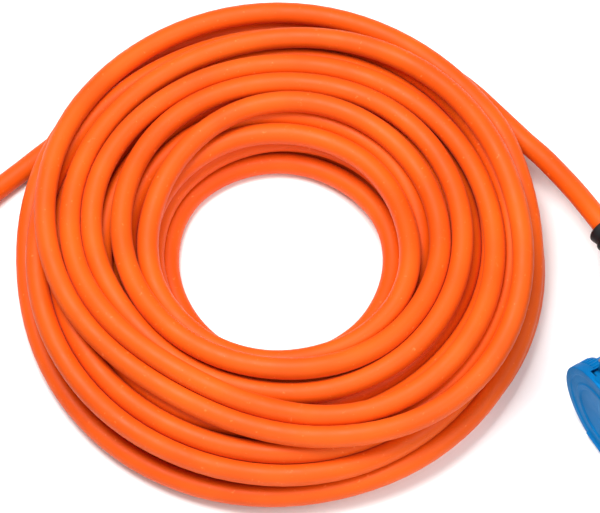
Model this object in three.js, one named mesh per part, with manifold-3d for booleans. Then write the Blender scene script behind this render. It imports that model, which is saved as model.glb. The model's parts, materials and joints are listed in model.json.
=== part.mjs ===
// A coiled three-core extension cord with a blue 16 A industrial plug on one end and an
// angled 16 A industrial coupler with a sprung lid on the other. Millimetres, +Z up.
import * as THREE from 'three';
import { mergeVertices } from 'three/addons/utils/BufferGeometryUtils.js';
import Module from 'manifold-3d';

const wasm = await Module();
wasm.setup();

// ---------------------------------------------------------------- driving dimensions
const GAP = 0.3; // clearance between two pieces that touch

const CABLE_RADIUS = 5.5; // rubber sheath over three 2.5 mm2 cores
const CORE_RADIUS = 1.7;
const CORE_SPREAD = 2.7; // distance of each core's centre from the cable's centre

const COIL_INNER_RADIUS = 58;
const COIL_OUTER_RADIUS = 139;
const COIL_HEIGHT = 44;
const COIL_SHOULDER = 14; // how far the stack of turns rounds off at its upper edges
const COIL_FOOT = 5; // and at its lower edges
const COIL_SEGMENTS = 48;

// The cable entry, as distances from the mouth of its sleeve into the housing.
const SLEEVE_MOUTH_RADIUS = 9.3;
const SLEEVE_ROOT_RADIUS = 10.2;
const SLEEVE_FLANGE_RADIUS = 12.6;
const SLEEVE_LENGTH = 29;
const SLEEVE_LIP = 2.6; // rounded edge at its mouth
const NUT_FRONT = 23.4;
const NUT_BACK = 37.1;
const NUT_RADIUS = 16.5;
const NUT_WALL = 3;
const STUB_TIP = 29.4;
const STUB_RADIUS = 13;
const STUB_BORE = 9.5;
const NECK_START = NUT_BACK + GAP;
const NECK_RADIUS = 16.6;
const NECK_BORE = 13.4;
const GROMMET_BACK = 39.2;
const TAIL_END = 25; // where the free cable's solid stops, inside the sleeve
const SHEATH_END = 62; // where the sheath is stripped off the cores
const CLAMP_CENTRE = 50;
const CLAMP_WIDTH = 8;
const CLAMP_REACH = 10.2;
const CLAMP_SCREW_OFFSET = 7.6;
const CLAMP_SCREW_RADIUS = 1.5;
const CLAMP_SCREW_TIP = -9; // its lower end, its head's seat and its top, off the cable's centre
const CLAMP_SCREW_SEAT = 6.8;
const CLAMP_SCREW_TOP = 8.2;
const CLAMP_BRIDGE = [0.5, 6.5]; // lower and upper face of the loose half of the clamp

const PIN_CIRCLE = 10.5; // radius of the circle that pins and contacts stand on
const KEY_WIDTH = 8.4;
const KEY_RADIUS = 24.6;
const TERMINAL_SCREW_RADIUS = 1.5;
const TERMINAL_SCREW_HEAD = 2.4;
const TERMINAL_SCREW_DEPTH = 1.2; // how near its tip comes to the middle of the barrel
const TERMINAL_SCREW_RISE = 2.2; // how far its head stands out of the barrel
const TERMINAL_DEPTH = 6; // how far a stripped core goes into its barrel

const ELBOW = new THREE.Vector3(211.0, -67.4, 29.5); // where the coupler's two axes cross
const SOCKET_HEADING = 211.5; // degrees, the way the socket faces
const ENTRY_LENGTH = 89; // from the elbow to the mouth of its sleeve
const BODY_BACK = -24;
const BODY_FRONT = 14;
const BODY_RADIUS = 25;
const BODY_BORE = 22.2;
const COLLAR_BACK = BODY_FRONT + GAP;
const COLLAR_MOUTH = 58;
const COLLAR_RADIUS = 27;
const COLLAR_BORE = 22.8;
const COLLAR_WEB_FRONT = 20;
const INSERT_BACK = 10;
const INSERT_SHOULDER = 16;
const INSERT_FRONT = 55;
const INSERT_RADIUS = 18.5;
const INSERT_FLANGE_RADIUS = 21.6;
const CONTACT_BACK = 2;
const CONTACT_FRONT = 54;
const CONTACT_BORE_BACK = 14; // how far back the bore for a pin goes
const CONTACT_SCREW = 5.5;
const LID_FACE = 62.5;
const LID_BACK = 51;
const LID_RADIUS = 29.4;
const LID_BORE = 27.6;
const LID_THICKNESS = 2.5;
const LID_GASKET = 1.3;
const LID_ARM_INNER = 5.6; // the lid's two arms lie inside the collar's two lugs
const LID_ARM_OUTER = 9.6;
const HOUSING_SCREW_PLACE = 14.6; // off the socket's axis, both across and up
const HOUSING_SCREW_RADIUS = 1.8;
const HOUSING_SCREW_HEAD = 3.2;
const HOUSING_SCREW_SEAT = -20.6; // how far back its head lies, sunk into the body
const HOUSING_SCREW_TIP = 18;
const HINGE_X = 53;
const HINGE_Z = 32;
const HINGE_EYE_RADIUS = 3.6;
const HINGE_PIN_RADIUS = 1.6;
const HINGE_HOLE_RADIUS = 1.9;
const HINGE_HALF_WIDTH = 14;
const HINGE_LUG_WIDTH = 4;
const SPRING_TURNS = 4;
const SPRING_RADIUS = 2.9;
const SPRING_WIRE_RADIUS = 0.6;
const SPRING_HALF_WIDTH = 4;
const SPRING_STEPS = 12; // in each turn

const PLUG_MOUTH = new THREE.Vector3(-178, -34, 27); // mouth of the plug's sleeve
const PLUG_HEADING = 270;
const PLUG_FLANGE_RADIUS = 27;
const PLUG_FLANGE_WIDTH = 8;
const HANDLE_RADIUS = 22.6; // at its widest, where it meets the front
const HANDLE_BORE = 18;
const PLUG_JOINT = 86; // where the handle meets the front
const PLUG_FRONT = 132;
const SHROUD_RADIUS = 21.8;
const SHROUD_BORE = 19.3;
const CARRIER_BACK = 82;
const CARRIER_FRONT = 95;
const CARRIER_RADIUS = 18.7;
const CARRIER_LIP = 1.6; // how far the front's inner rim laps over the carrier
const PIN_BACK = 70;
const PIN_SCREW = 75;

// Each pole: its place on the pin circle in degrees, and its pin, terminal barrel and core.
const POLES = [
  { name: 'line', angle: 150, pin: 2.5, barrel: 3.9, pinTip: 128, core: 'brownCore' },
  { name: 'neutral', angle: 30, pin: 2.5, barrel: 3.9, pinTip: 128, core: 'blueCore' },
  { name: 'earth', angle: 270, pin: 3.5, barrel: 4.9, pinTip: 130, core: 'earthCore' },
];

// Centre points of the two free stretches of cable, from the coil outwards.
const TAIL_TO_PLUG = [
  [-133.4, 56.0, 5.5],
  [-140.5, 49.6, 5.5],
  [-147.5, 43.2, 5.8],
  [-154.4, 36.3, 7.2],
  [-160.4, 28.9, 9.6],
  [-165.7, 20.8, 12.8],
  [-170.0, 12.2, 16.3],
  [-173.5, 3.2, 19.7],
  [-176.0, -6.1, 22.9],
  [-177.5, -15.6, 25.3],
  [-178.0, -25.2, 26.8],
  [-178.0, -34.0, 27.0],
  [-178.0, -46.5, 27.0],
  [-178.0, -59.0, 27.0],
];
const TAIL_TO_COUPLER = [
  [133.7, 56.6, 19.6],
  [137.8, 51.6, 20.2],
  [142.8, 44.8, 21.2],
  [147.9, 37.4, 22.7],
  [152.8, 29.4, 24.8],
  [157.3, 21.2, 27.2],
  [161.4, 13.8, 29.0],
  [164.5, 8.5, 29.5],
  [171.0, -2.2, 29.5],
  [177.6, -12.8, 29.5],
];

// Centre points of the coupler's cores, from the cut sheath to their contacts, off the elbow.
const COUPLER_CORES = {
  line: [
    [2.4, -25.1, 1.4],
    [0.2, -21, 3.2],
    [-3.6, -15.4, 4.8],
    [-4.6, -10.6, 5.25],
    [-2.4, -9.15, 5.25],
    [1.7, -9.1, 5.25],
  ],
  neutral: [
    [-2.4, -25.1, 1.4],
    [-7.4, -17, 2.6],
    [-11.4, -5, 5],
    [-9.4, 6, 5.25],
    [-4, 9, 5.25],
    [1.7, 9.1, 5.25],
  ],
  earth: [
    [0, -25.1, -2.7],
    [-2.6, -17, -5.6],
    [-6.4, -7, -9.6],
    [-3.6, -0.8, -10.5],
    [1.7, 0, -10.5],
  ],
};

// ---------------------------------------------------------------- materials
const paint = (color, roughness, metalness = 0) =>
  new THREE.MeshStandardMaterial({ color, roughness, metalness });

const MATERIALS = {
  sheath: paint(0xf96a1f, 0.5),
  blueShell: paint(0x1a7cc4, 0.4),
  blueLid: paint(0x0e6cb4, 0.38),
  greyInsert: paint(0x3a3f45, 0.55),
  blackRubber: paint(0x101215, 0.6),
  blackNylon: paint(0x15171a, 0.45),
  brass: paint(0xc9a24b, 0.3, 1),
  steel: paint(0xa9adb2, 0.35, 1),
  brownCore: paint(0x6b3a1e, 0.5),
  blueCore: paint(0x2f6fc9, 0.5),
  earthCore: paint(0x7fae2b, 0.5),
};

// ---------------------------------------------------------------- shape helpers
function mesh(name, shape, material) {
  const geometry = shape instanceof THREE.BufferGeometry ? shape : toGeometry(shape);
  const piece = new THREE.Mesh(geometry, material);
  piece.name = name;
  return piece;
}

function toSolid(geometry) {
  const bare = geometry.clone();
  bare.deleteAttribute('normal');
  bare.deleteAttribute('uv');
  const merged = mergeVertices(bare, 1e-4);
  const triangles = [];
  for (let i = 0; i < merged.index.count; i += 3) {
    const [a, b, c] = [0, 1, 2].map((k) => merged.index.getX(i + k));
    if (a !== b && b !== c && c !== a) triangles.push(a, b, c);
  }
  return new wasm.Manifold(new wasm.Mesh({
    numProp: 3,
    vertProperties: new Float32Array(merged.attributes.position.array),
    triVerts: new Uint32Array(triangles),
  }));
}

function toGeometry(solid) {
  const { vertProperties, triVerts } = solid.getMesh();
  const geometry = new THREE.BufferGeometry();
  geometry.setAttribute('position', new THREE.BufferAttribute(vertProperties, 3));
  geometry.setIndex(new THREE.BufferAttribute(triVerts, 1));
  return geometry;
}

function join(first, ...others) {
  return others.reduce((solid, other) => solid.add(toSolid(other)), toSolid(first));
}

function cut(solid, ...tools) {
  return tools.reduce((rest, tool) => rest.subtract(toSolid(tool)), solid);
}

// Turns [distance along X, radius] points about the X axis, back to front round the outside.
function turned(profile, segments = 32) {
  const points = profile.map(([x, radius]) => new THREE.Vector2(radius, x));
  return new THREE.LatheGeometry(points, segments).rotateZ(-Math.PI / 2);
}

// A turned tube: its outside from back to front, then its bore from front to back.
function turnedTube(outside, bore, segments = 32) {
  return turned([...outside, ...bore, outside[0]], segments);
}

function tube(back, front, radius, bore, segments = 32) {
  return turnedTube([[back, radius], [front, radius]], [[front, bore], [back, bore]], segments);
}

function rod(back, front, radius, segments = 16) {
  return turned([[back, 0], [back, radius], [front, radius], [front, 0]], segments);
}

function block([x0, x1], [y0, y1], [z0, z1]) {
  const geometry = new THREE.BoxGeometry(x1 - x0, y1 - y0, z1 - z0);
  return geometry.translate((x0 + x1) / 2, (y0 + y1) / 2, (z0 + z1) / 2);
}

function uprightRod(x, y, bottom, top, radius, segments = 12) {
  const geometry = new THREE.CylinderGeometry(radius, radius, top - bottom, segments);
  return geometry.rotateX(Math.PI / 2).translate(x, y, (bottom + top) / 2);
}

function crossRod(x, z, y0, y1, radius, segments = 16) {
  const geometry = new THREE.CylinderGeometry(radius, radius, y1 - y0, segments);
  return geometry.translate(x, (y0 + y1) / 2, z);
}

// A plate drawn in X and Z and as thick as from y0 to y1.
function plate(points, y0, y1) {
  const shape = new THREE.Shape(points.map(([x, z]) => new THREE.Vector2(x, z)));
  const geometry = new THREE.ExtrudeGeometry(shape, { depth: y1 - y0, bevelEnabled: false });
  return geometry.rotateX(Math.PI / 2).translate(0, y1, 0);
}

function tubeAlong(points, radius, steps, sides = 10) {
  const section = [];
  for (let i = 0; i < sides; i += 1) {
    const angle = (2 * Math.PI * i) / sides;
    section.push(new THREE.Vector2(radius * Math.cos(angle), radius * Math.sin(angle)));
  }
  const path = new THREE.CatmullRomCurve3(points.map((p) => new THREE.Vector3(...p)));
  return new THREE.ExtrudeGeometry(new THREE.Shape(section), { steps, extrudePath: path });
}

function polePlace(pole, radius = PIN_CIRCLE) {
  const angle = THREE.MathUtils.degToRad(pole.angle);
  return [radius * Math.cos(angle), radius * Math.sin(angle)];
}

// A shape drawn about the X axis, moved on to a pole.
function onPole(geometry, pole) {
  const [y, z] = polePlace(pole);
  return geometry.translate(0, y, z);
}

// ---------------------------------------------------------------- cable
function coilSolid() {
  const shoulder = COIL_SHOULDER * 0.3;
  const top = COIL_HEIGHT;
  const points = [
    [COIL_INNER_RADIUS + COIL_FOOT, 0],
    [COIL_OUTER_RADIUS - COIL_FOOT, 0],
    [COIL_OUTER_RADIUS, COIL_FOOT],
    [COIL_OUTER_RADIUS, top - COIL_SHOULDER],
    [COIL_OUTER_RADIUS - shoulder, top - shoulder],
    [COIL_OUTER_RADIUS - COIL_SHOULDER, top],
    [COIL_INNER_RADIUS + COIL_SHOULDER, top],
    [COIL_INNER_RADIUS + shoulder, top - shoulder],
    [COIL_INNER_RADIUS, top - COIL_SHOULDER],
    [COIL_INNER_RADIUS, COIL_FOOT],
    [COIL_INNER_RADIUS + COIL_FOOT, 0],
  ];
  const profile = points.map(([radius, z]) => new THREE.Vector2(radius, z));
  return new THREE.LatheGeometry(profile, COIL_SEGMENTS).rotateX(Math.PI / 2);
}

function cablePieces() {
  return [
    mesh('cable_coil', coilSolid(), MATERIALS.sheath),
    mesh('cable_tail_to_plug', tubeAlong(TAIL_TO_PLUG, CABLE_RADIUS, 14), MATERIALS.sheath),
    mesh('cable_tail_to_coupler', tubeAlong(TAIL_TO_COUPLER, CABLE_RADIUS, 12), MATERIALS.sheath),
  ];
}

// ---------------------------------------------------------------- cable entry
// The entry runs along +X from the mouth of its sleeve, and is the same on both housings.
function stubShell() {
  return tube(STUB_TIP, NECK_START + 2, STUB_RADIUS, STUB_BORE);
}

function clampSaddle() {
  const half = CLAMP_WIDTH / 2;
  return block(
    [CLAMP_CENTRE - half, CLAMP_CENTRE + half],
    [-CLAMP_REACH, CLAMP_REACH],
    [-NECK_BORE, -CABLE_RADIUS - GAP],
  );
}

function clampScrewHole(side) {
  const y = side * CLAMP_SCREW_OFFSET;
  const radius = CLAMP_SCREW_RADIUS + GAP;
  return uprightRod(CLAMP_CENTRE, y, CLAMP_SCREW_TIP - 0.5, NECK_BORE - 1, radius);
}

function clampScrew(side) {
  const y = side * CLAMP_SCREW_OFFSET;
  const shank = uprightRod(CLAMP_CENTRE, y, CLAMP_SCREW_TIP, CLAMP_SCREW_SEAT + 0.2,
    CLAMP_SCREW_RADIUS);
  const head = uprightRod(CLAMP_CENTRE, y, CLAMP_SCREW_SEAT, CLAMP_SCREW_TOP,
    CLAMP_SCREW_RADIUS + 0.9);
  return join(shank, head);
}

function cordClamp() {
  const half = CLAMP_WIDTH / 2;
  const bridge = block(
    [CLAMP_CENTRE - half, CLAMP_CENTRE + half],
    [-CLAMP_REACH, CLAMP_REACH],
    CLAMP_BRIDGE,
  );
  const cable = rod(CLAMP_CENTRE - CLAMP_WIDTH, CLAMP_CENTRE + CLAMP_WIDTH, CABLE_RADIUS + GAP);
  return cut(toSolid(bridge), cable, clampScrewHole(-1), clampScrewHole(1));
}

function sleeve() {
  const flange = NUT_FRONT + NUT_WALL + GAP;
  const outside = [
    [0, CABLE_RADIUS + 1.6],
    [SLEEVE_LIP * 0.3, SLEEVE_MOUTH_RADIUS - 0.8],
    [SLEEVE_LIP, SLEEVE_MOUTH_RADIUS],
    [NUT_FRONT - 1, SLEEVE_ROOT_RADIUS],
    [flange, SLEEVE_ROOT_RADIUS],
    [flange, SLEEVE_FLANGE_RADIUS],
    [SLEEVE_LENGTH, SLEEVE_FLANGE_RADIUS],
  ];
  const bore = CABLE_RADIUS + GAP;
  return turnedTube(outside, [[SLEEVE_LENGTH, bore], [0, bore]], 24);
}

function glandNut() {
  const outside = [
    [NUT_FRONT, NUT_RADIUS - 3],
    [NUT_FRONT + 2, NUT_RADIUS - 1],
    [NUT_FRONT + 4, NUT_RADIUS],
    [NUT_BACK, NUT_RADIUS],
  ];
  const bore = [
    [NUT_BACK, STUB_RADIUS + GAP],
    [NUT_FRONT + NUT_WALL, STUB_RADIUS + GAP],
    [NUT_FRONT + NUT_WALL, SLEEVE_ROOT_RADIUS + GAP],
    [NUT_FRONT, SLEEVE_ROOT_RADIUS + GAP],
  ];
  return turnedTube(outside, bore);
}

function entryPieces(prefix) {
  const screws = [-1, 1].map((side, i) =>
    mesh(`${prefix}_clamp_screw_${i + 1}`, clampScrew(side), MATERIALS.steel));
  const grommet = tube(STUB_TIP + GAP, GROMMET_BACK, STUB_BORE - GAP, CABLE_RADIUS + GAP, 24);
  const sheath = rod(TAIL_END + GAP, SHEATH_END, CABLE_RADIUS);
  return [
    mesh(`${prefix}_sleeve`, sleeve(), MATERIALS.blackRubber),
    mesh(`${prefix}_gland_nut`, glandNut(), MATERIALS.blackNylon),
    mesh(`${prefix}_grommet`, grommet, MATERIALS.blackRubber),
    mesh(`${prefix}_cord_clamp`, cordClamp(), MATERIALS.greyInsert),
    ...screws,
    mesh(`${prefix}_cable_end`, sheath, MATERIALS.sheath),
  ];
}

// ---------------------------------------------------------------- contacts and cores
// A terminal screw stands on its barrel, pointing away from the middle of the connector.
function terminalScrew(pole, x, grow = 0) {
  const top = pole.barrel + TERMINAL_SCREW_RISE;
  const screw = [
    rod(TERMINAL_SCREW_DEPTH - grow, top - 1, TERMINAL_SCREW_RADIUS + grow, 12),
    rod(pole.barrel + GAP, top, TERMINAL_SCREW_HEAD + grow, 12),
  ];
  const angle = THREE.MathUtils.degToRad(pole.angle);
  return screw.map((geometry) => geometry
    .rotateY(-Math.PI / 2)
    .rotateX(angle - Math.PI / 2)
    .translate(x, ...polePlace(pole)));
}

function terminalScrewSolid(pole, x) {
  return join(...terminalScrew(pole, x));
}

// A round terminal barrel with a hole for the stripped core and one for its screw.
function drilled(blank, pole, back, screwX) {
  const coreHole = onPole(rod(back - 1, back + TERMINAL_DEPTH, CORE_RADIUS + GAP, 12), pole);
  return cut(toSolid(onPole(blank, pole)), coreHole, terminalScrew(pole, screwX, GAP)[0]);
}

function corePieces(prefix, routes) {
  return POLES.map((pole) => mesh(
    `${prefix}_core_${pole.name}`,
    tubeAlong(routes[pole.name], CORE_RADIUS, 10, 8),
    MATERIALS[pole.core],
  ));
}

// ---------------------------------------------------------------- coupler
// The socket faces +X, the cable comes in along +Y, and the elbow is the origin.
function entryToElbow(geometry) {
  return geometry.rotateZ(Math.PI / 2).translate(0, -ENTRY_LENGTH, 0);
}

function housingScrewRod(side, back, front, radius) {
  const place = side * HOUSING_SCREW_PLACE;
  return rod(back, front, radius, 12).translate(0, place, place);
}

function housingScrew(side) {
  return join(
    housingScrewRod(side, HOUSING_SCREW_SEAT - 0.5, HOUSING_SCREW_TIP, HOUSING_SCREW_RADIUS),
    housingScrewRod(side, HOUSING_SCREW_SEAT - 2.2, HOUSING_SCREW_SEAT, HOUSING_SCREW_HEAD),
  );
}

function couplerBody() {
  const neckEnd = ENTRY_LENGTH - BODY_BORE;
  const solid = join(
    turned([
      [BODY_BACK, 0],
      [BODY_BACK, BODY_RADIUS - 7],
      [BODY_BACK + 2, BODY_RADIUS - 2.5],
      [BODY_BACK + 6, BODY_RADIUS],
      [BODY_FRONT, BODY_RADIUS],
      [BODY_FRONT, 0],
    ]),
    entryToElbow(turned([
      [NECK_START, 0],
      [NECK_START, NECK_RADIUS],
      [NECK_START + 22, NECK_RADIUS + 3],
      [ENTRY_LENGTH, NECK_RADIUS + 5],
      [ENTRY_LENGTH, 0],
    ])),
    entryToElbow(rod(STUB_TIP, NECK_START + 2, STUB_RADIUS, 32)),
  );
  const collarSeat = block([BODY_FRONT, BODY_FRONT + 20], [-COLLAR_RADIUS - 2 * GAP, 30], [-30, 30]);
  const outside = cut(solid, collarSeat);
  const hollow = join(
    rod(BODY_BACK + 3, BODY_FRONT + 1, BODY_BORE, 32),
    entryToElbow(rod(NECK_START + 3, neckEnd + 6, NECK_BORE, 24)),
    entryToElbow(rod(STUB_TIP - 1, NECK_START + 4, STUB_BORE, 24)),
  );
  const bosses = [-1, 1].map((side) =>
    housingScrewRod(side, BODY_BACK + 1, HOUSING_SCREW_SEAT + 8, HOUSING_SCREW_HEAD + 1.8));
  const shell = outside.subtract(hollow);
  const fitted = [entryToElbow(clampSaddle()), ...bosses].reduce(
    (rest, extra) => rest.add(toSolid(extra).intersect(outside)), shell);
  const holes = [-1, 1].flatMap((side) => [
    entryToElbow(clampScrewHole(side)),
    housingScrewRod(side, BODY_BACK - 1, BODY_FRONT, HOUSING_SCREW_RADIUS + GAP),
    housingScrewRod(side, BODY_BACK - 1, HOUSING_SCREW_SEAT + GAP, HOUSING_SCREW_HEAD + GAP),
  ]);
  return cut(fitted, ...holes);
}

function couplerInsert() {
  const blank = turned([
    [INSERT_BACK, 0],
    [INSERT_BACK, INSERT_FLANGE_RADIUS],
    [INSERT_SHOULDER, INSERT_FLANGE_RADIUS],
    [INSERT_SHOULDER, INSERT_RADIUS],
    [INSERT_FRONT - 1, INSERT_RADIUS],
    [INSERT_FRONT, INSERT_RADIUS - 1],
    [INSERT_FRONT, 0],
  ]);
  const bores = POLES.flatMap((pole) => [
    onPole(rod(INSERT_BACK - 1, CONTACT_FRONT + GAP, pole.barrel + GAP), pole),
    onPole(rod(CONTACT_FRONT - 4, INSERT_FRONT + 1, pole.pin + GAP), pole),
  ]);
  const screwHoles = [-1, 1].map((side) =>
    housingScrewRod(side, INSERT_BACK - 1, INSERT_SHOULDER + 1, HOUSING_SCREW_RADIUS + GAP));
  return cut(toSolid(blank), ...bores, ...screwHoles);
}

// The two ends of a piece that lies from inner to outer on one side of the middle plane.
function span(side, inner, outer) {
  return side > 0 ? [inner, outer] : [-outer, -inner];
}

function hingeHole() {
  const reach = HINGE_HALF_WIDTH + 6;
  return crossRod(HINGE_X, HINGE_Z, -reach, reach, HINGE_HOLE_RADIUS);
}

function hingeEye(y0, y1) {
  return crossRod(HINGE_X, HINGE_Z, y0, y1, HINGE_EYE_RADIUS, 20);
}

function couplerCollar() {
  const shell = turnedTube(
    [
      [COLLAR_BACK, BODY_RADIUS],
      [COLLAR_BACK + 4, COLLAR_RADIUS],
      [COLLAR_MOUTH, COLLAR_RADIUS],
    ],
    [
      [COLLAR_MOUTH, COLLAR_BORE],
      [COLLAR_WEB_FRONT, COLLAR_BORE],
      [COLLAR_WEB_FRONT, INSERT_RADIUS + GAP],
      [INSERT_SHOULDER + GAP, INSERT_RADIUS + GAP],
      [INSERT_SHOULDER + GAP, INSERT_FLANGE_RADIUS + GAP],
      [COLLAR_BACK, INSERT_FLANGE_RADIUS + GAP],
    ],
  );
  const reach = 3;
  const root = COLLAR_RADIUS - 3;
  const lugOutline = [
    [HINGE_X - 14, root],
    [HINGE_X + reach, root],
    [HINGE_X + reach, HINGE_Z + 1],
    [HINGE_X, HINGE_Z + HINGE_EYE_RADIUS - 0.3],
    [HINGE_X - 4, HINGE_Z + 2],
  ];
  const lugs = [-1, 1].flatMap((side) => {
    const [y0, y1] = span(side, HINGE_HALF_WIDTH - HINGE_LUG_WIDTH, HINGE_HALF_WIDTH);
    return [plate(lugOutline, y0, y1), hingeEye(y0, y1)];
  });
  const inside = rod(COLLAR_WEB_FRONT, COLLAR_MOUTH + 1, COLLAR_BORE, 32);
  const keyway = block(
    [COLLAR_WEB_FRONT, COLLAR_MOUTH + 1],
    [-KEY_WIDTH / 2 - GAP, KEY_WIDTH / 2 + GAP],
    [-KEY_RADIUS - GAP * 2, -COLLAR_BORE + 3],
  );
  const screwHoles = [-1, 1].map((side) =>
    housingScrewRod(side, COLLAR_BACK - 1, HOUSING_SCREW_TIP + 1, HOUSING_SCREW_RADIUS + GAP));
  return cut(lugs.reduce((solid, lug) => solid.add(toSolid(lug)), toSolid(shell)),
    inside, keyway, hingeHole(), ...screwHoles);
}

function couplerLid() {
  const cap = turnedTube(
    [
      [LID_BACK, LID_RADIUS],
      [LID_FACE - 1.6, LID_RADIUS],
      [LID_FACE - 0.5, LID_RADIUS - 0.6],
      [LID_FACE, LID_RADIUS - 2],
      [LID_FACE, 0],
    ],
    [[LID_FACE - LID_THICKNESS, 0], [LID_FACE - LID_THICKNESS, LID_BORE], [LID_BACK, LID_BORE]],
  );
  const hingeWindow = block(
    [LID_BACK - 1, LID_FACE - LID_THICKNESS - GAP],
    [-HINGE_HALF_WIDTH - 1, HINGE_HALF_WIDTH + 1],
    [HINGE_Z - HINGE_HALF_WIDTH, LID_RADIUS + 2],
  );
  const armOutline = [
    [HINGE_X, HINGE_Z - HINGE_EYE_RADIUS + 0.2],
    [LID_FACE - LID_THICKNESS, LID_BORE + 0.6],
    [LID_FACE - LID_THICKNESS, LID_BORE - 4],
    [LID_FACE - 1, LID_BORE - 4],
    [LID_FACE - 1, LID_RADIUS - 1],
    [HINGE_X, HINGE_Z + HINGE_EYE_RADIUS - 0.2],
  ];
  const arms = [-1, 1].flatMap((side) => {
    const [y0, y1] = span(side, LID_ARM_INNER, LID_ARM_OUTER);
    return [plate(armOutline, y0, y1), hingeEye(y0, y1)];
  });
  const open = cut(toSolid(cap), hingeWindow);
  return cut(arms.reduce((solid, arm) => solid.add(toSolid(arm)), open), hingeHole());
}

function lidSpring() {
  const steps = SPRING_TURNS * SPRING_STEPS;
  const points = [];
  for (let i = 0; i <= steps; i += 1) {
    const angle = (2 * Math.PI * i) / SPRING_STEPS;
    points.push([
      HINGE_X + SPRING_RADIUS * Math.cos(angle),
      SPRING_HALF_WIDTH * ((2 * i) / steps - 1),
      HINGE_Z + SPRING_RADIUS * Math.sin(angle),
    ]);
  }
  return tubeAlong(points, SPRING_WIRE_RADIUS, steps, 6);
}

function couplerContact(pole) {
  const bore = pole.pin + 0.1;
  const blank = turnedTube(
    [[CONTACT_BACK, pole.barrel], [CONTACT_FRONT, pole.barrel]],
    [[CONTACT_FRONT, bore], [CONTACT_BORE_BACK, bore], [CONTACT_BORE_BACK, 0], [CONTACT_BACK, 0]],
    16,
  );
  return drilled(blank, pole, CONTACT_BACK, CONTACT_SCREW);
}

function couplerPieces() {
  const hingePin = crossRod(HINGE_X, HINGE_Z, -HINGE_HALF_WIDTH - 1, HINGE_HALF_WIDTH + 1,
    HINGE_PIN_RADIUS);
  const gasketBack = COLLAR_MOUTH + GAP;
  const gasket = tube(gasketBack, gasketBack + LID_GASKET, LID_BORE - 0.8, 21.5);
  const entry = new THREE.Group();
  entry.add(...entryPieces('coupler'));
  entry.rotation.z = Math.PI / 2;
  entry.position.y = -ENTRY_LENGTH;
  return [
    mesh('coupler_body', couplerBody(), MATERIALS.blueShell),
    mesh('coupler_collar', couplerCollar(), MATERIALS.blueShell),
    mesh('coupler_insert', couplerInsert(), MATERIALS.greyInsert),
    ...POLES.map((pole) =>
      mesh(`coupler_contact_${pole.name}`, couplerContact(pole), MATERIALS.brass)),
    ...POLES.map((pole) =>
      mesh(`coupler_terminal_screw_${pole.name}`, terminalScrewSolid(pole, CONTACT_SCREW),
        MATERIALS.steel)),
    mesh('coupler_lid', couplerLid(), MATERIALS.blueLid),
    mesh('coupler_lid_gasket', gasket, MATERIALS.blackRubber),
    mesh('coupler_hinge_pin', hingePin, MATERIALS.steel),
    mesh('coupler_lid_spring', lidSpring(), MATERIALS.steel),
    ...[-1, 1].map((side, i) =>
      mesh(`coupler_housing_screw_${i + 1}`, housingScrew(side), MATERIALS.steel)),
    ...corePieces('coupler', COUPLER_CORES),
    entry,
  ];
}

// ---------------------------------------------------------------- plug
// The plug points along +X from the mouth of its sleeve.
function plugHandle() {
  const shell = turnedTube(
    [
      [NECK_START, NECK_RADIUS],
      [NECK_START + 14, NECK_RADIUS + 1.4],
      [PLUG_JOINT - 18, HANDLE_RADIUS - 2.1],
      [PLUG_JOINT - 8, HANDLE_RADIUS],
      [PLUG_JOINT, HANDLE_RADIUS],
    ],
    [
      [PLUG_JOINT, CARRIER_RADIUS + GAP],
      [CARRIER_BACK - GAP, CARRIER_RADIUS + GAP],
      [CARRIER_BACK - GAP, HANDLE_BORE],
      [PIN_BACK, HANDLE_BORE],
      [SHEATH_END, NECK_BORE],
      [NECK_START + 3, NECK_BORE],
      [NECK_START + 3, STUB_BORE],
      [NECK_START, STUB_BORE],
    ],
  );
  const whole = join(shell, stubShell());
  const saddle = toSolid(clampSaddle());
  const neck = toSolid(rod(NECK_START, SHEATH_END, NECK_RADIUS));
  return cut(whole.add(saddle.intersect(neck)), clampScrewHole(-1), clampScrewHole(1));
}

function plugFront() {
  const flangeFront = PLUG_JOINT + PLUG_FLANGE_WIDTH;
  const rimFront = CARRIER_FRONT + 2.4;
  const shell = turnedTube(
    [
      [PLUG_JOINT + GAP, PLUG_FLANGE_RADIUS - 1.5],
      [PLUG_JOINT + 2, PLUG_FLANGE_RADIUS],
      [flangeFront - 1, PLUG_FLANGE_RADIUS],
      [flangeFront, PLUG_FLANGE_RADIUS - 1],
      [flangeFront, SHROUD_RADIUS],
      [PLUG_FRONT, SHROUD_RADIUS],
    ],
    [
      [PLUG_FRONT, SHROUD_BORE],
      [rimFront, SHROUD_BORE],
      [rimFront, CARRIER_RADIUS - CARRIER_LIP],
      [CARRIER_FRONT + GAP, CARRIER_RADIUS - CARRIER_LIP],
      [CARRIER_FRONT + GAP, CARRIER_RADIUS + GAP],
      [PLUG_JOINT + GAP, CARRIER_RADIUS + GAP],
    ],
  );
  const key = block(
    [flangeFront, PLUG_FRONT - 2],
    [-KEY_WIDTH / 2, KEY_WIDTH / 2],
    [-KEY_RADIUS, -SHROUD_BORE - 1],
  );
  return join(shell, key);
}

function plugCarrier() {
  const bores = POLES.map((pole) =>
    onPole(rod(CARRIER_BACK - 1, CARRIER_FRONT + 1, pole.pin + GAP), pole));
  return cut(toSolid(rod(CARRIER_BACK, CARRIER_FRONT, CARRIER_RADIUS, 32)), ...bores);
}

function plugPin(pole) {
  const blank = turned([
    [PIN_BACK, 0],
    [PIN_BACK, pole.barrel],
    [CARRIER_BACK - GAP, pole.barrel],
    [CARRIER_BACK - GAP, pole.pin],
    [pole.pinTip - 1.5, pole.pin],
    [pole.pinTip, pole.pin - 1.2],
    [pole.pinTip, 0],
  ], 16);
  return drilled(blank, pole, PIN_BACK, PIN_SCREW);
}

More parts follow.
